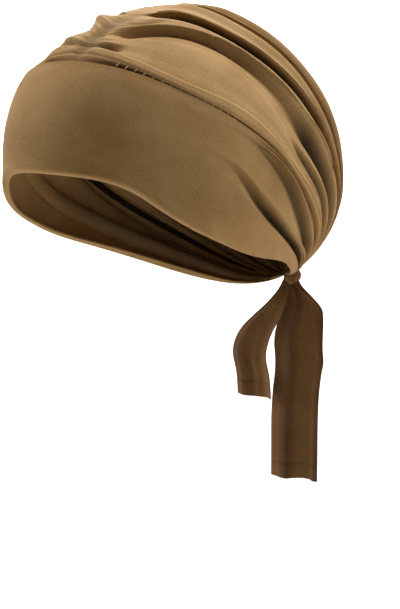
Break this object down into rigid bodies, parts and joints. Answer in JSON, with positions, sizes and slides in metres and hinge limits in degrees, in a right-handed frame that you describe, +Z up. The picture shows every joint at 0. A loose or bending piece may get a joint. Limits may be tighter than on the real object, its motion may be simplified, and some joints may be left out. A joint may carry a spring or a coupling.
{
  "type": "chemo cap",
  "caption": "Pre-tied soft head cover: wide jersey band, two gathered crown panels with a ruched centre seam, a nape knot and two hanging tails.",
  "frame": {"origin": "top of the wearer's head, where the inside of the crown sits", "axes": "+Z up, the face looks along -Y, +X is the wearer's left"},
  "size_m": [0.1668, 0.2371, 0.2899],
  "materials": {
    "band_jersey": "matte double-layer stretch jersey, taupe brown",
    "crown_jersey": "matte gathered stretch jersey, taupe brown",
    "tie_jersey": "matte stretch jersey, folded and hemmed, taupe brown"
  },
  "bodies": {
    "root": {"front_band": "band_jersey", "crown_left": "crown_jersey", "crown_right": "crown_jersey", "knot": "tie_jersey", "tie_left": "tie_jersey", "tie_right": "tie_jersey"}
  },
  "joints": []
}
